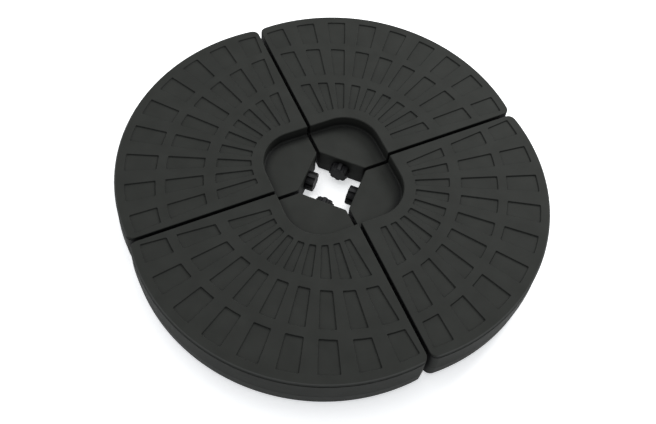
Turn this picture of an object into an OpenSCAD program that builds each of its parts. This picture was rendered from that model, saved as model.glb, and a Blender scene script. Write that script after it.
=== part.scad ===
// Parasol base of four ballast tanks set in a ring, each filled with water or sand
// through a neck that a screw cap closes. Millimetres, +Z up, the origin on the
// ground at the ring's centre. Every tank is drawn with its centre line along +X.

/* [Ring] */
// Radius of the ring, measured along a tank's centre line
ring_r = 480; // [465:5:500]
// Radius of each tank's own rim, a little less than the ring's
rim_r = 418; // [412:1:430]
// Width of the gap between neighbouring tanks
gap = 7; // [4:1:12]
// Distance from the ring's centre to each tank's inner end
tip_x = 59; // [55:1:64]

/* [Tank] */
// Height of a tank, feet included
tank_h = 100; // [92:1:104]
// Thickness of the blow moulded wall
wall = 3.5; // [2.5:0.5:4]
// Radius of the upright corners where the rim meets the sides
corner_r = 18; // [10:1:24]
// Radius of the rounded edge along the top of the rim
edge_r = 4; // [3:0.5:8]
// Inward lean of the rim over its height
rim_draft = 2; // [0:0.5:4]
// Height of the feet
foot_h = 5; // [4:1:8]

/* [Centre recess] */
// Half the width of the sunken square, measured at right angles to the gaps
recess_half = 136; // [130:1:145]
// Radius of the sunken square's corners
recess_r = 80; // [60:1:90]
// Depth of the sunken square
recess_depth = 30; // [26:1:34]

/* [Pockets] */
// Depth of the pattern's pockets
pocket_depth = 2; // [1:0.5:3]
// Columns of pockets on a tank
columns = 9; // [5:2:9]
// Angle between columns, about the centre of the rim's arc
column_step = 11.5; // [11:0.1:11.8]
// Angle that a pocket spans
column_width = 6.8; // [5:0.1:8]

/* [Filler] */
// Height of the neck's axis above the ground
neck_z = 36; // [34:1:37]
// Outer radius of the neck
neck_r = 15.5; // [14.5:0.5:16]
// Radius of the neck's bore
bore_r = 12; // [10.5:0.5:12.5]
// Length of the neck
neck_len = 12; // [10:1:13]
// Radius of the cap over its grips
cap_r = 22; // [21.5:0.5:22.5]
// Length of the cap
cap_len = 19; // [18:1:20]
// Thickness of the seal
seal_t = 1.6; // [1:0.1:2]

/* [Hidden] */
$fn = 96;
slack = 1;
rim_cx = ring_r - rim_r;
far_x = ring_r + 20;
recess_z = tank_h - recess_depth;
// Rings of pockets: inner and outer radius about the ring's centre
outer_ring_in = 384;
middle_ring = [282, 363];
inner_ring_out = 256;
// Rim of plain surface left outside the outer pockets
rim_land = 23;
// Plain surface left round the sunken square
recess_land = 27;
// Feet under the rim: bearing from the centre line, half span and length inwards
rim_foot_at = 11;
rim_foot_span = 4;
rim_foot_len = 60;
rim_foot_in = 6;
// Round feet: place and radius
round_feet = [[112, 40], [292, 205]];
round_foot_r = 18;
// Cap: clearance to the tank's end face, and to the neck
cap_gap = 1;
cap_bore_r = neck_r + 0.8;
grips = 8;
grip_r = 4;
cap_bevel = 2;
seal_r = cap_bore_r - 0.4;
seal_hole_r = bore_r - 0.6;
lip_x = tip_x - neck_len;

// Square with round corners, its sides at right angles to the gaps
module turned_square(half, r) {
    rotate(45) union() {
        square([2 * half, 2 * (half - r)], center = true);
        square([2 * (half - r), 2 * half], center = true);
        for (a = [0:90:270]) rotate(a) translate([half - r, half - r]) circle(r);
    }
}

// Sector between the two side faces, moved in by a margin
module sector(margin) {
    inset = (gap / 2 + margin) * sqrt(2);
    near = tip_x + margin;
    polygon([[near, inset - near], [far_x, inset - far_x],
             [far_x, far_x - inset], [near, near - inset]]);
}

// What is cut off beyond the round corner between the rim and one side
module corner_waste(margin) {
    r = corner_r - margin;
    side = gap / 2 + margin;
    centre = rim_cx * cos(45);
    along = centre + sqrt(pow(rim_r - corner_r, 2) - pow(side + r - centre, 2));
    out = atan2(side + r - centre, along - centre);
    rotate(-45) translate([along, side + r]) difference() {
        polygon([[0, 0], [0, -2 * r], [2.5 * r, -2 * r], 2.5 * r * [cos(out), sin(out)]]);
        circle(r);
    }
}

// Plan of a tank, moved in by a margin
module plan(margin) {
    difference() {
        intersection() {
            translate([rim_cx, 0]) circle(rim_r - margin, $fn = 192);
            sector(margin);
        }
        corner_waste(margin);
        mirror([0, 1]) corner_waste(margin);
    }
}

// Upright body between two heights
module slab(margin, z0, z1) {
    translate([0, 0, z0]) linear_extrude(z1 - z0) plan(margin);
}

// Turned form that leans the rim in and rounds its top edge
module rim_form() {
    top_r = rim_r - rim_draft;
    translate([rim_cx, 0, foot_h]) rotate_extrude($fn = 192) union() {
        h = tank_h - foot_h;
        polygon([[0, 0], [rim_r, 0], [top_r, h - edge_r], [top_r - edge_r, h], [0, h]]);
        translate([top_r - edge_r, h - edge_r]) circle(edge_r, $fn = 48);
    }
}

// Wedges that the columns of pockets lie in
module column_wedges() {
    last = (columns - 1) / 2;
    half = column_width / 2;
    translate([rim_cx, 0]) for (i = [-last:last]) rotate(i * column_step)
        polygon([[0, 0], [far_x, -far_x * tan(half)], [far_x, far_x * tan(half)]]);
}

// The three rings that the pockets lie in
module pocket_rings() {
    difference() {
        translate([rim_cx, 0]) circle(rim_r - rim_land, $fn = 192);
        circle(outer_ring_in, $fn = 192);
    }
    difference() {
        circle(middle_ring[1], $fn = 192);
        circle(middle_ring[0], $fn = 192);
    }
    difference() {
        circle(inner_ring_out, $fn = 192);
        turned_square(recess_half + recess_land, recess_r + recess_land);
    }
}

module pockets() {
    translate([0, 0, tank_h - pocket_depth]) linear_extrude(pocket_depth + slack)
        intersection() {
            column_wedges();
            pocket_rings();
        }
}

// Two feet under the rim and four round ones inside
module feet() {
    for (side = [-1, 1]) {
        linear_extrude(foot_h + slack) intersection() {
            translate([rim_cx, 0]) difference() {
                circle(rim_r - rim_foot_in, $fn = 192);
                circle(rim_r - rim_foot_in - rim_foot_len, $fn = 192);
            }
            rotate(side * rim_foot_at) polygon([[0, 0],
                [far_x, -far_x * tan(rim_foot_span)], [far_x, far_x * tan(rim_foot_span)]]);
        }
        for (p = round_feet) translate([p[0], side * p[1], 0])
            cylinder(h = foot_h + slack, r = round_foot_r);
    }
}

// Hollow that takes the water or sand
module cavity() {
    low = foot_h + wall;
    slab(wall, low, recess_z - wall);
    difference() {
        slab(wall, recess_z - wall - slack, tank_h - pocket_depth - wall);
        translate([0, 0, recess_z - wall - 2 * slack]) linear_extrude(tank_h)
            turned_square(recess_half + wall, recess_r + wall);
    }
}

module tank() {
    color([0.21, 0.22, 0.21]) difference() {
        union() {
            intersection() {
                slab(0, foot_h, tank_h);
                rim_form();
            }
            feet();
            translate([lip_x, 0, neck_z]) rotate([0, 90, 0]) cylinder(h = neck_len + wall, r = neck_r);
        }
        cavity();
        pockets();
        translate([0, 0, recess_z]) linear_extrude(tank_h) turned_square(recess_half, recess_r);
        translate([lip_x - slack, 0, neck_z]) rotate([0, 90, 0])
            cylinder(h = neck_len + wall + 2 * slack, r = bore_r);
    }
}

// Screw cap with deep grips, its closed end towards the ring's centre
module cap() {
    end_x = tip_x - cap_gap - cap_len;
    depth = tip_x - cap_gap - (lip_x - seal_t);
    color([0.19, 0.19, 0.19]) translate([end_x, 0, neck_z]) rotate([0, 90, 0]) difference() {
        rotate_extrude() polygon([[0, 0], [cap_r - cap_bevel, 0], [cap_r, cap_bevel],
            [cap_r, cap_len], [0, cap_len]]);
        translate([0, 0, cap_len - depth]) cylinder(h = depth + slack, r = cap_bore_r);
        for (i = [0:grips - 1]) rotate((i + 0.5) * 360 / grips) translate([cap_r + 1, 0, -slack])
            cylinder(h = cap_len + 2 * slack, r = grip_r);
    }
}

// Flat seal between the neck's lip and the cap
module seal() {
    color([0.08, 0.08, 0.08]) translate([lip_x - seal_t, 0, neck_z]) rotate([0, 90, 0]) difference() {
        cylinder(h = seal_t, r = seal_r);
        translate([0, 0, -slack]) cylinder(h = seal_t + 2 * slack, r = seal_hole_r);
    }
}

rotate(270) tank();  // front_tank
tank();  // right_tank
rotate(90) tank();  // back_tank
rotate(180) tank();  // left_tank
rotate(270) cap();  // front_cap
cap();  // right_cap
rotate(90) cap();  // back_cap
rotate(180) cap();  // left_cap
rotate(270) seal();  // front_seal
seal();  // right_seal
rotate(90) seal();  // back_seal
rotate(180) seal();  // left_seal
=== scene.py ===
import math

import bmesh
import bpy
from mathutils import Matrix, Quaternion, Vector


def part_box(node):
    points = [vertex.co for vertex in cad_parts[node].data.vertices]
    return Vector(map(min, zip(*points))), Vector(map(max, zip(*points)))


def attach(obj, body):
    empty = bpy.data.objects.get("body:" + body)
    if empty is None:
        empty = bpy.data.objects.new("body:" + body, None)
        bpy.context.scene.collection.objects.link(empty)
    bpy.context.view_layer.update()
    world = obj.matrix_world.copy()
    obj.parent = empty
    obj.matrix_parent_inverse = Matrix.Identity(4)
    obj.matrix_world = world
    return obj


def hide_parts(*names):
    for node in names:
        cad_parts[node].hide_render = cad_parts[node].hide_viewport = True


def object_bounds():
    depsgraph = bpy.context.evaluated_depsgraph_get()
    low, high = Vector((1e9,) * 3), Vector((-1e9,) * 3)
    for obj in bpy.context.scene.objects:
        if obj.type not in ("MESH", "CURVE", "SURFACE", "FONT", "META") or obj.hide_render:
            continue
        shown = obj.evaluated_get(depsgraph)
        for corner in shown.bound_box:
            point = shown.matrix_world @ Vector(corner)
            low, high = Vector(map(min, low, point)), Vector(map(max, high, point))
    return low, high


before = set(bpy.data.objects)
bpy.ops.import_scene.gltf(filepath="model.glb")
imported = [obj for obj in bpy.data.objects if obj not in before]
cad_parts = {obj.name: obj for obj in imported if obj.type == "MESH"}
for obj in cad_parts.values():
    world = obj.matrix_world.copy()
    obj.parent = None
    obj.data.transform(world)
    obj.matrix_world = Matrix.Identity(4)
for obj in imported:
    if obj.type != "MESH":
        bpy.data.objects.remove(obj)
cad_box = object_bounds()


# The camera stands in front of the ring and a little to its right, and looks down on it
# at about 55 degrees, leaning slightly to one side. A small shift holds the ring in the frame.
ring_middle = (cad_box[0] + cad_box[1]) / 2
camera_aim = ring_middle + Vector((-0.0351, 0.0586, 0.0478))
camera_turn = math.radians(16.18)
camera_height = math.radians(54.52)
camera_lean = math.radians(6.03)
camera_distance = 1.794
camera_back = Vector((math.sin(camera_turn) * math.cos(camera_height),
                      -math.cos(camera_turn) * math.cos(camera_height), math.sin(camera_height)))
bpy.ops.object.camera_add(location=camera_aim + camera_back * camera_distance)
camera = bpy.context.object
camera.name = "camera"
camera.rotation_mode = "QUATERNION"
camera.rotation_quaternion = camera_back.to_track_quat("Z", "Y") @ Quaternion((0, 0, 1), camera_lean)
camera.data.lens = 43.97
camera.data.shift_y = -0.0976
bpy.context.scene.camera = camera


# The ring lies on a pale table that glows a little, so its shadow stays weak. A broad lamp
# behind and to the right draws the edges; a wide one overhead and a weak low one at the left
# keep it soft.
bpy.context.scene.view_settings.view_transform = "Standard"
bpy.ops.mesh.primitive_circle_add(vertices=96, radius=9, fill_type="NGON")
floor = bpy.context.object
floor.name = "floor"
floor_paint = bpy.data.materials.new("floor_paint")
floor_paint.use_nodes = True
floor_shader = floor_paint.node_tree.nodes["Principled BSDF"]
floor_shader.inputs["Roughness"].default_value = 0.85
floor_shader.inputs["Specular IOR Level"].default_value = 0.2
floor_shader.inputs["Emission Color"].default_value = (0.97, 0.985, 1, 1)
floor_shader.inputs["Emission Strength"].default_value = 0.55
floor_cloud = floor_paint.node_tree.nodes.new("ShaderNodeTexNoise")
floor_cloud.inputs["Scale"].default_value = 3
floor_tone = floor_paint.node_tree.nodes.new("ShaderNodeValToRGB")
floor_tone.color_ramp.elements[0].color = (0.86, 0.86, 0.86, 1)
floor_tone.color_ramp.elements[1].color = (0.88, 0.88, 0.88, 1)
floor_paint.node_tree.links.new(floor_cloud.outputs["Fac"], floor_tone.inputs["Fac"])
floor_paint.node_tree.links.new(floor_tone.outputs["Color"], floor_shader.inputs["Base Color"])
floor.data.materials.append(floor_paint)

studio = bpy.data.worlds.new("studio")
studio.use_nodes = True
studio.node_tree.nodes["Background"].inputs["Color"].default_value = (0.95, 0.97, 1.0, 1)
studio.node_tree.nodes["Background"].inputs["Strength"].default_value = 0.45
bpy.context.scene.world = studio


def softbox(name, place, width, watts):
    """A square lamp of the given width that faces the ring."""
    bpy.ops.object.light_add(type="AREA", location=place)
    lamp = bpy.context.object
    lamp.name = name
    lamp.data.size = width
    lamp.data.energy = watts
    lamp.rotation_mode = "QUATERNION"
    lamp.rotation_quaternion = (Vector(place) - ring_middle).to_track_quat("Z", "Y")


softbox("lamp_behind", (0.9, 2.1, 1.7), 1.0, 62)
softbox("lamp_above", (-0.4, 0.4, 2.8), 2.6, 44)
softbox("lamp_left", (-2.4, 0.9, 0.9), 1.2, 10)


# A tank is one hollow quarter of the ring, blow moulded in charcoal polyethylene. It has a
# sunken corner towards the middle, a pattern of shallow pockets on top, a threaded filler
# neck in its cut inner end, and low feet. One is modelled at the right and set on all four sides.
tank_low, tank_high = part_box("right_tank")
tank_top = tank_high.z
rim_r = 0.418
rim_x = tank_high.x - rim_r
rim_lean = 0.002          # how far the rim wall leans in from its parting line to its top
rim_band = 0.028          # the rim wall and its rounded edges lie within this of the rim
rim_corner_r = 0.018
side_gap = 0.0035         # from a side face to the diagonal between two tanks
tip_x = 0.059             # the cut inner end
foot_h = 0.005
tank_wall = 0.0035
parting_z = 0.045
recess_floor = tank_top - 0.030
recess_half = 0.136
recess_r = 0.080
recess_cove = 0.004
pocket_depth = 0.003
neck_z = 0.036
neck_r = 0.0155
neck_bore = 0.012
rim_middle = Vector((rim_x, 0, 0))
sideways = Vector((-math.sqrt(0.5), math.sqrt(0.5), 0))


def alone(piece):
    """Leaves one piece selected and active."""
    bpy.ops.object.select_all(action="DESELECT")
    piece.select_set(True)
    bpy.context.view_layer.objects.active = piece
    return piece


def edit(piece):
    """Opens one piece in edit mode with everything selected."""
    alone(piece)
    bpy.ops.object.mode_set(mode="EDIT")
    bpy.ops.mesh.select_all(action="SELECT")


def choose(piece, kind, wanted):
    """In edit mode, selects only the vertices, edges or faces that wanted() accepts."""
    bpy.ops.mesh.select_all(action="DESELECT")
    bpy.ops.mesh.select_mode(type=kind)
    shape = bmesh.from_edit_mesh(piece.data)
    for part in {"VERT": shape.verts, "EDGE": shape.edges, "FACE": shape.faces}[kind]:
        part.select_set(wanted(part))
    bmesh.update_edit_mesh(piece.data)


def finish_edit():
    """Goes back to object mode."""
    bpy.ops.object.mode_set(mode="OBJECT")


def apply_all(piece):
    """Applies a piece's modifiers in their order."""
    alone(piece)
    for name in [m.name for m in piece.modifiers]:
        bpy.ops.object.modifier_apply(modifier=name)


def combine(piece, tool, how="DIFFERENCE"):
    """Cuts a tool out of a piece, adds it, or keeps what both share. The tool is used up."""
    step = piece.modifiers.new(how.lower(), "BOOLEAN")
    step.operation = how
    step.solver = "EXACT"
    step.object = tool
    apply_all(piece)
    bpy.data.objects.remove(tool)


def split_off(place, normal):
    """In edit mode, trims the whole piece beyond a plane and closes the cut."""
    bpy.ops.mesh.select_all(action="SELECT")
    bpy.ops.mesh.bisect(plane_co=place, plane_no=normal, use_fill=True, clear_outer=True)


def middle_of(edge):
    return (edge.verts[0].co + edge.verts[1].co) / 2


def at_level(point, level):
    return abs(point.z - level) < 1e-6


def from_side(point):
    """Distance of a point in from the nearer side face."""
    return -Vector((point.x, abs(point.y), 0)).dot(sideways) - side_gap


def from_rim(point):
    """Distance of a point in from the rim at its widest."""
    return rim_r - (point - rim_middle).xy.length


def heading(degrees):
    """Level direction at a bearing from the X axis."""
    return Vector((math.cos(math.radians(degrees)), math.sin(math.radians(degrees)), 0))


def across(degrees):
    """Level direction a quarter turn on from a bearing."""
    return Vector((-heading(degrees).y, heading(degrees).x, 0))


def upright(edge):
    """Whether an edge runs steeply up or down."""
    return abs(edge.verts[0].co.z - edge.verts[1].co.z) > 0.7 * edge.calc_length()


def round_upright(piece, offset, segments, is_corner):
    """Rounds upright corner edges. Other upright edges close beside each are cleared first."""
    shape = bmesh.from_edit_mesh(piece.data)
    corners = [middle_of(e) for e in shape.edges if upright(e) and is_corner(e)]
    choose(piece, "EDGE", lambda e: upright(e) and not is_corner(e) and any(
        (middle_of(e) - corner).xy.length < 1.8 * offset for corner in corners))
    bpy.ops.mesh.dissolve_edges(use_verts=True)
    choose(piece, "EDGE", lambda e: upright(e) and is_corner(e))
    bpy.ops.mesh.bevel(offset=offset, segments=segments, clamp_overlap=False)


def square_corner(edge):
    """Whether an edge's faces turn by much more than one step of a round wall."""
    return edge.calc_face_angle() > 0.8


def disc(x, radius, low, high, y=0, sides=256):
    """An upright disc between two heights."""
    bpy.ops.mesh.primitive_cylinder_add(vertices=sides, radius=radius, depth=high - low,
                                        location=(x, y, (low + high) / 2))
    bpy.ops.object.transform_apply()
    return bpy.context.object


def tank_blank(name, margin, low, high):
    """A closed quarter of the ring between two heights, its outline moved in by a margin."""
    blank = disc(rim_x, rim_r - margin, low, high)
    blank.name = name
    edit(blank)
    bpy.ops.mesh.bisect(plane_co=(0, 0, parting_z), plane_no=(0, 0, 1))
    for level in (low, high):
        choose(blank, "VERT", lambda v: at_level(v.co, level))
        narrower = 1 - rim_lean / rim_r * abs(level - parting_z) / (tank_top - parting_z)
        bpy.ops.transform.resize(value=(narrower, narrower, 1), center_override=(rim_x, 0, level))
    for hand in (1, -1):
        normal = Vector((sideways.x, hand * sideways.y, 0))
        split_off(-normal * (side_gap + margin), normal)
    split_off((tip_x + margin, 0, 0), (-1, 0, 0))
    # rim and side meet at 96 degrees, so a bevel's offset is 0.9 of its radius
    round_upright(blank, 0.9 * (rim_corner_r - margin), 8, lambda e: from_rim(middle_of(e)) < rim_band
                  and from_side(middle_of(e)) < margin + 0.0001)
    finish_edit()
    return blank


def recess_block(margin, low, high, cove):
    """The sunken square as a block with round corners, its sides at right angles to the gaps."""
    half = recess_half + margin
    bpy.ops.mesh.primitive_cube_add(size=2, location=(0, 0, (low + high) / 2),
                                    rotation=(0, 0, math.radians(45)), scale=(half, half, (high - low) / 2))
    block = bpy.context.object
    bpy.ops.object.transform_apply()
    edit(block)
    round_upright(block, recess_r + margin, 16, square_corner)
    if cove:
        choose(block, "EDGE", lambda e: at_level(middle_of(e), low))
        bpy.ops.mesh.bevel(offset=cove, segments=4, clamp_overlap=False)
    finish_edit()
    return block


def drop_slivers(piece):
    """Closes up edges and faces too small to see that a cut may leave."""
    edit(piece)
    bpy.ops.mesh.dissolve_degenerate(threshold=0.00001)
    finish_edit()


def join(pieces, name):
    """Makes several pieces one, under a new name."""
    joined = alone(pieces[0])
    for piece in pieces:
        piece.select_set(True)
    bpy.ops.object.join()
    joined.name = name
    return joined


def copy_of(piece):
    alone(piece)
    bpy.ops.object.duplicate()
    return bpy.context.object


tank = tank_blank("tank", 0, foot_h, tank_top)
combine(tank, recess_block(0, recess_floor, tank_top + 0.02, recess_cove))

# edges rounded by place: broad under the rim, fine along the gaps
sharp_angle = math.radians(40)
widest_round = 0.009
under_gap_round = 0.004
gap_round = 0.0018
rim_top_round = 0.0035
usual_round = 0.003
upright_round = 0.0015
round_fade = 0.015        # rounding grows over this distance from a gap
beyond_recess = 0.25      # further out than this, a top edge is the rim's or a gap's


def rounding(edge):
    """Radius for an edge, 0 where it stays as it is."""
    if len(edge.link_faces) != 2 or edge.calc_face_angle() < sharp_angle:
        return 0
    place = middle_of(edge)
    at_tip = place.x < tip_x + 0.001
    from_gap = min(1, max(0, from_side(place)) / round_fade)
    if upright(edge):
        return usual_round if at_tip else upright_round
    if place.z < foot_h + 0.0001:
        return under_gap_round if at_tip else under_gap_round + (widest_round - under_gap_round) * from_gap
    if place.z > tank_top - 0.0001 and place.xy.length > beyond_recess:
        return gap_round + (rim_top_round - gap_round) * from_gap
    if from_side(place) < 0.00001:
        return gap_round
    return usual_round


edit(tank)
round_layer = bmesh.from_edit_mesh(tank.data).edges.layers.float.new("bevel_weight_edge")
for edge in bmesh.from_edit_mesh(tank.data).edges:
    edge[round_layer] = rounding(edge) / widest_round
bmesh.update_edit_mesh(tank.data)
finish_edit()
edge_round = tank.modifiers.new("edge_round", "BEVEL")
edge_round.limit_method = "WEIGHT"
edge_round.width = widest_round
edge_round.segments = 4
edge_round.use_clamp_overlap = False
apply_all(tank)


# a groove under the rim's top edge, and the mould's parting line lower down
def rim_line(profile):
    """Cuts level lines round the rim wall and moves each in or out: (height, way out)."""
    for level, _ in profile:
        choose(tank, "FACE", lambda f: abs(f.normal.z) < 0.5 and from_rim(f.calc_center_median()) < rim_band)
        bpy.ops.mesh.bisect(plane_co=(0, 0, level), plane_no=(0, 0, 1))
    for level, way in profile:
        choose(tank, "VERT", lambda v: at_level(v.co, level) and from_rim(v.co) < rim_band
               and from_side(v.co) > 0.0005)
        wider = 1 + way / rim_r
        bpy.ops.transform.resize(value=(wider, wider, 1), center_override=(rim_x, 0, level))


groove_depth = 0.0018
bead_half = 0.0008
bead_height = 0.0003
edit(tank)
rim_line([(tank_top - 0.0044, 0), (tank_top - 0.0050, -groove_depth),
          (tank_top - 0.0072, -groove_depth), (tank_top - 0.0080, 0)])
rim_line([(parting_z - bead_half, 0), (parting_z, bead_height), (parting_z + bead_half, 0)])
finish_edit()

# the hollow, then the neck and its bore
hollow = tank_blank("hollow", tank_wall, foot_h + tank_wall, tank_top - pocket_depth - tank_wall)
combine(hollow, recess_block(tank_wall, recess_floor - tank_wall, tank_top, 0))
combine(tank, hollow)


def along_x(radius, start, end, sides=96):
    """A rod on the filler's axis between two places along X."""
    bpy.ops.mesh.primitive_cylinder_add(vertices=sides, radius=radius, depth=end - start,
                                        location=((start + end) / 2, 0, neck_z),
                                        rotation=(0, math.radians(90), 0))
    bpy.ops.object.transform_apply()
    return bpy.context.object


lip_x = tank_low.x
lip_edge = 0.0004
neck = along_x(neck_r, lip_x, tip_x + tank_wall)
edit(neck)
choose(neck, "EDGE", lambda e: middle_of(e).x < lip_x + 1e-6)
bpy.ops.mesh.bevel(offset=lip_edge, segments=2)
finish_edit()
combine(tank, neck, "UNION")
combine(tank, along_x(neck_bore, lip_x - 0.001, tip_x + tank_wall + 0.001))

# screw ridges: a blunt tooth that goes a little into its wall and stands out of it
screw_lead = 0.004
ridge_sink = 0.0003
ridge_rise = 0.0005
crest_half = 0.0003
root_half = 0.0008


def thread(root, crest, start, end):
    """A closed right-hand screw ridge on the filler's axis, from its root's radius to its crest's."""
    bpy.ops.mesh.primitive_plane_add(size=2, location=(start, 0, neck_z))
    ridge = bpy.context.object
    edit(ridge)
    bpy.ops.mesh.delete(type="ONLY_FACE")
    for vertex in bmesh.from_edit_mesh(ridge.data).verts:
        at_crest = vertex.co.y > 0
        half_width = crest_half if at_crest else root_half
        vertex.co = Vector((math.copysign(half_width, vertex.co.x), crest if at_crest else root, 0))
    bmesh.update_edit_mesh(ridge.data)
    finish_edit()
    turn = ridge.modifiers.new("turn", "SCREW")
    turn.axis = "X"
    turn.screw_offset = end - start
    turn.angle = 2 * math.pi * (end - start) / screw_lead
    turn.steps = 96
    turn.render_steps = 96
    apply_all(ridge)
    bpy.ops.object.transform_apply()
    edit(ridge)
    bpy.ops.mesh.fill_holes(sides=0)
    bpy.ops.mesh.normals_make_consistent(inside=False)
    finish_edit()
    return ridge


combine(tank, thread(neck_r - ridge_sink, neck_r + ridge_rise, lip_x + 0.0025, tip_x - 0.0020), "UNION")
drop_slivers(tank)

# feet: two pads under the rim and four round ones further in
pad_outer_r = rim_r - 0.006
pad_inner_r = rim_r - 0.066
pad_corner_r = 0.006
pad_start = 7             # degrees to either side of the tank's middle line
pad_end = 15
foot_r = 0.018
foot_edge = 0.002
for hand in (1, -1):
    pad = disc(rim_x, pad_outer_r, 0, foot_h + 0.004)
    combine(pad, disc(rim_x, pad_inner_r, -0.01, 0.02))
    edit(pad)
    split_off((0, 0, 0), across(hand * pad_start) * -hand)
    split_off((0, 0, 0), across(hand * pad_end) * hand)
    round_upright(pad, pad_corner_r, 4, square_corner)
    choose(pad, "EDGE", lambda e: at_level(middle_of(e), 0))
    bpy.ops.mesh.bevel(offset=foot_edge, segments=3, clamp_overlap=False)
    finish_edit()
    combine(tank, pad, "UNION")
for foot_x, foot_y in ((0.112, 0.040), (0.112, -0.040), (0.292, 0.205), (0.292, -0.205)):
    foot = disc(foot_x, foot_r, 0, foot_h + 0.001, foot_y, 48)
    edit(foot)
    choose(foot, "EDGE", lambda e: at_level(middle_of(e), 0))
    bpy.ops.mesh.bevel(offset=foot_edge, segments=3)
    finish_edit()
    combine(tank, foot, "UNION")

# pockets: three rings cut into nine columns. Their outlines are marked by a tiny step in the
# top, half a wall's slope too wide, and insets then press them in with sloping walls.
rim_land = 0.023          # plain bands beside the rim and the sunken corner
recess_land = 0.027
outer_pocket_in = 0.384   # the other ends of the pockets, from the ring's middle
middle_pocket_out = 0.363
middle_pocket_in = 0.282
inner_pocket_out = 0.256
column_spacing = 11.5     # degrees
column_half = 3.15
pocket_corner_r = 0.003
pocket_slope = 0.0025
pocket_mark = 0.00005
mark_low = tank_top - pocket_mark
mark_high = tank_top + 0.004
cut_low = mark_low - 0.001
cut_high = mark_high + 0.001
grow = pocket_slope / 2
outer_ring = disc(rim_x, rim_r - rim_land + grow, mark_low, mark_high)
combine(outer_ring, disc(0, outer_pocket_in - grow, cut_low, cut_high))
middle_ring = disc(0, middle_pocket_out + grow, mark_low, mark_high)
combine(middle_ring, disc(0, middle_pocket_in - grow, cut_low, cut_high))
inner_ring = disc(0, inner_pocket_out + grow, mark_low, mark_high)
combine(inner_ring, recess_block(recess_land - grow, cut_low, cut_high, 0))
pocket_rings = join([outer_ring, middle_ring, inner_ring], "pocket_rings")
columns = []
for column in range(-4, 5):
    wedge = copy_of(pocket_rings)
    edit(wedge)
    for hand in (1, -1):
        normal = across(column_spacing * column + hand * column_half) * hand
        split_off(rim_middle + normal * grow, normal)
    split_off(rim_middle, -heading(column_spacing * column))
    round_upright(wedge, pocket_corner_r, 4, square_corner)
    finish_edit()
    columns.append(wedge)
bpy.data.objects.remove(pocket_rings)
combine(tank, join(columns, "pocket_marks"))
edit(tank)
choose(tank, "FACE", lambda f: f.normal.z > 0.9 and at_level(f.calc_center_median(), mark_low))
slope_steps = 6
for step in range(slope_steps):
    fall = math.cos(math.pi * step / slope_steps) - math.cos(math.pi * (step + 1) / slope_steps)
    bpy.ops.mesh.inset(thickness=pocket_slope / slope_steps, depth=-pocket_depth / 2 * fall)
# close up the tiny step
choose(tank, "EDGE", lambda e: upright(e) and e.calc_length() < 1.5 * pocket_mark)
bpy.ops.mesh.merge(type="COLLAPSE")
finish_edit()


def smooth(piece):
    """Smooth shading except over sharp edges, with flat faces kept flat."""
    alone(piece)
    bpy.ops.object.shade_smooth_by_angle(angle=math.radians(35))
    even = piece.modifiers.new("even", "WEIGHTED_NORMAL")
    even.keep_sharp = True
    apply_all(piece)


smooth(tank)


def moulded_plastic(name, dark, light, rough, grain):
    """Dull moulded plastic: cloudy colour, painted shade darkening its hollows, uneven gloss and a fine cast
    grain.
    """
    paint = bpy.data.materials.new(name)
    paint.use_nodes = True
    nodes, links = paint.node_tree.nodes, paint.node_tree.links
    shader = nodes["Principled BSDF"]
    shader.inputs["Specular IOR Level"].default_value = 0.04
    place = nodes.new("ShaderNodeTexCoord")

    def noise(scale, detail):
        cloud = nodes.new("ShaderNodeTexNoise")
        cloud.inputs["Scale"].default_value = scale
        cloud.inputs["Detail"].default_value = detail
        links.new(place.outputs["Object"], cloud.inputs["Vector"])
        return cloud.outputs["Fac"]

    tone = nodes.new("ShaderNodeValToRGB")
    tone.color_ramp.elements[0].position = 0.3
    tone.color_ramp.elements[1].position = 0.7
    tone.color_ramp.elements[0].color = (*dark, 1)
    tone.color_ramp.elements[1].color = (*light, 1)
    links.new(noise(22, 5), tone.inputs["Fac"])
    # painted shade: ambient occlusion darkens the colour towards near black in hollows, corners and gaps
    painted_shade_ao = nodes.new("ShaderNodeAmbientOcclusion")
    painted_shade_ao.inputs["Distance"].default_value = 0.03
    painted_shade_ao.samples = 8
    painted_shade_fade = nodes.new("ShaderNodeMapRange")
    painted_shade_fade.inputs["From Min"].default_value = 0.45
    painted_shade_fade.inputs["From Max"].default_value = 0.88
    painted_shade_fade.inputs["To Min"].default_value = 0.2
    links.new(painted_shade_ao.outputs["AO"], painted_shade_fade.inputs["Value"])
    painted_shade_mix = nodes.new("ShaderNodeMix")
    painted_shade_mix.data_type = "RGBA"
    painted_shade_mix.inputs["A"].default_value = (0.004, 0.004, 0.005, 1)
    links.new(painted_shade_fade.outputs["Result"], painted_shade_mix.inputs["Factor"])
    links.new(tone.outputs["Color"], painted_shade_mix.inputs["B"])
    links.new(painted_shade_mix.outputs["Result"], shader.inputs["Base Color"])
    dull = nodes.new("ShaderNodeMapRange")
    dull.inputs["To Min"].default_value = rough - 0.06
    dull.inputs["To Max"].default_value = rough + 0.06
    links.new(noise(160, 4), dull.inputs["Value"])
    links.new(dull.outputs["Result"], shader.inputs["Roughness"])
    peel = nodes.new("ShaderNodeBump")
    peel.inputs["Distance"].default_value = 0.0004
    peel.inputs["Strength"].default_value = 0.25
    links.new(noise(260, 2), peel.inputs["Height"])
    cast = nodes.new("ShaderNodeBump")
    cast.inputs["Distance"].default_value = 0.0001
    cast.inputs["Strength"].default_value = grain
    links.new(noise(1600, 3), cast.inputs["Height"])
    links.new(peel.outputs["Normal"], cast.inputs["Normal"])
    links.new(cast.outputs["Normal"], shader.inputs["Normal"])
    return paint


# The tank's plastic is painted paler along the lip round the rim: a painted highlight on its rounded top
# edge.
# The mask measures every tank as if it stood at the right: the larger of |x| and |y| is the way out.
tank_plastic = moulded_plastic("tank_plastic", (0.0230, 0.0242, 0.0222), (0.0272, 0.0286, 0.0263), 0.6, 0.5)
tank_nodes = tank_plastic.node_tree.nodes
tank_links = tank_plastic.node_tree.links


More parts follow.
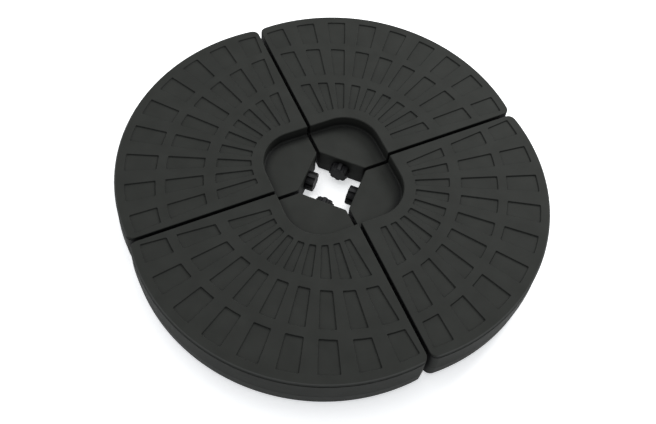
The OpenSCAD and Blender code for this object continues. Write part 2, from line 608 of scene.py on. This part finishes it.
def tank_math(how, first, second):
    """The result of a Math node on two values, each of them a number or a socket."""
    step = tank_nodes.new("ShaderNodeMath")
    step.operation = how
    for socket, value in zip(step.inputs, (first, second)):
        if isinstance(value, float):
            socket.default_value = value
        else:
            tank_links.new(value, socket)
    return step.outputs["Value"]


def tank_fade(value, start, end):
    """A value turned into a mask, 0 below the start and 1 beyond the end."""
    fade = tank_nodes.new("ShaderNodeMapRange")
    fade.inputs["From Min"].default_value = start
    fade.inputs["From Max"].default_value = end
    tank_links.new(value, fade.inputs["Value"])
    return fade.outputs["Result"]


any_side = tank_nodes.new("ShaderNodeVectorMath")
any_side.operation = "ABSOLUTE"
tank_links.new(tank_nodes.new("ShaderNodeTexCoord").outputs["Object"], any_side.inputs[0])
spot = tank_nodes.new("ShaderNodeSeparateXYZ")
tank_links.new(any_side.outputs["Vector"], spot.inputs["Vector"])
from_middle = tank_nodes.new("ShaderNodeCombineXYZ")
outward = tank_math("MAXIMUM", spot.outputs["X"], spot.outputs["Y"])
tank_links.new(tank_math("SUBTRACT", outward, rim_x), from_middle.inputs["X"])
tank_links.new(tank_math("MINIMUM", spot.outputs["X"], spot.outputs["Y"]), from_middle.inputs["Y"])
reach = tank_nodes.new("ShaderNodeVectorMath")
reach.operation = "LENGTH"
tank_links.new(from_middle.outputs["Vector"], reach.inputs[0])
at_rim = tank_fade(reach.outputs["Value"], rim_r - 0.0058, rim_r - 0.0048)
on_lip = tank_fade(spot.outputs["Z"], tank_top - 0.0018, tank_top - 0.0010)
# painted highlight: a paler colour on the top of the rim's rounded edge
painted_highlight = tank_nodes.new("ShaderNodeMix")
painted_highlight.data_type = "RGBA"
painted_highlight.inputs["B"].default_value = (0.050, 0.052, 0.050, 1)
tank_colour = tank_nodes["Principled BSDF"].inputs["Base Color"]
tank_links.new(tank_math("MULTIPLY", at_rim, on_lip), painted_highlight.inputs["Factor"])
tank_links.new(tank_colour.links[0].from_socket, painted_highlight.inputs["A"])
tank_links.new(painted_highlight.outputs["Result"], tank_colour)
tank.data.materials.clear()
tank.data.materials.append(tank_plastic)

sides = {"right": 0, "back": 90, "left": 180, "front": 270}


def set_round(piece, kind):
    """Sets a piece made for the right tank at all four, each with its own mesh."""
    for side, degrees in sides.items():
        turned = copy_of(piece)
        turned.rotation_euler.z = math.radians(degrees)
        bpy.ops.object.transform_apply()
        turned.name = f"{kind}_{side}"
        turned.data.name = turned.name
        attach(turned, f"{side}_{kind}_body")
        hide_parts(f"{side}_{kind}")
    bpy.data.objects.remove(piece)


set_round(tank, "tank")


# A screw cap, injection moulded in dark grey polypropylene: eight broad lobes with deep
# grips between them, a slightly dished end, and a thread inside its bore.
cap_low, cap_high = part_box("right_cap")
seal_low, seal_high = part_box("right_seal")
cap_r = 0.022
cap_bore = 0.0163
cap_end_round = 0.002
cap_rim_width = 0.0035
cap_dish = 0.0006
lobes = 8
grip_r = 0.005
grip_out = cap_r + 0.0006  # from the cap's axis to a grip's
grip_length = 0.03
cap = along_x(cap_r, cap_low.x, cap_high.x, 128)
edit(cap)
choose(cap, "EDGE", lambda e: middle_of(e).x < cap_low.x + 1e-6)
bpy.ops.mesh.bevel(offset=cap_end_round, segments=4)
choose(cap, "FACE", lambda f: f.normal.x < -0.99)
bpy.ops.mesh.inset(thickness=cap_rim_width)
bpy.ops.mesh.inset(thickness=cap_dish, depth=-cap_dish)
finish_edit()
grips = []
for lobe in range(lobes):
    bearing = math.radians(360 / lobes * (lobe + 0.5))
    bpy.ops.mesh.primitive_cylinder_add(
        vertices=32, radius=grip_r, depth=grip_length, rotation=(0, math.radians(90), 0),
        location=((cap_low.x + cap_high.x) / 2, grip_out * math.cos(bearing),
                  neck_z + grip_out * math.sin(bearing)))
    bpy.ops.object.transform_apply()
    grips.append(bpy.context.object)
combine(cap, join(grips, "grips"))
soften = cap.modifiers.new("soften", "BEVEL")
soften.width = 0.0006
soften.segments = 3
soften.angle_limit = sharp_angle
apply_all(cap)
drop_slivers(cap)
combine(cap, along_x(cap_bore, seal_low.x, cap_high.x + 0.001))
# starts half a turn on from the neck's thread, so that one runs between the other's ridges
cap_ridge = thread(cap_bore + ridge_sink, cap_bore - ridge_rise, seal_high.x + 0.0045, cap_high.x - 0.0015)
combine(cap, cap_ridge, "UNION")
smooth(cap)
cap.data.materials.clear()
cap.data.materials.append(moulded_plastic("cap_plastic", (0.0230, 0.0232, 0.0236), (0.0265, 0.0268, 0.0272),
                                          0.5, 0.3))
set_round(cap, "cap")


# A flat washer of soft black rubber lies between the neck's lip and the inside of the cap.
# It is punched from sheet, with its edges barely rounded.
seal_r = 0.0159
seal_bore = 0.0114
seal = along_x(seal_r, seal_low.x, seal_high.x)
combine(seal, along_x(seal_bore, seal_low.x - 0.001, seal_high.x + 0.001))
soft_edge = seal.modifiers.new("soft_edge", "BEVEL")
soft_edge.width = 0.0004
soft_edge.segments = 3
soft_edge.angle_limit = math.radians(60)
apply_all(seal)
smooth(seal)
seal.data.materials.clear()
seal.data.materials.append(moulded_plastic("seal_rubber", (0.005, 0.005, 0.005), (0.008, 0.008, 0.008),
                                           0.7, 0.2))
set_round(seal, "seal")
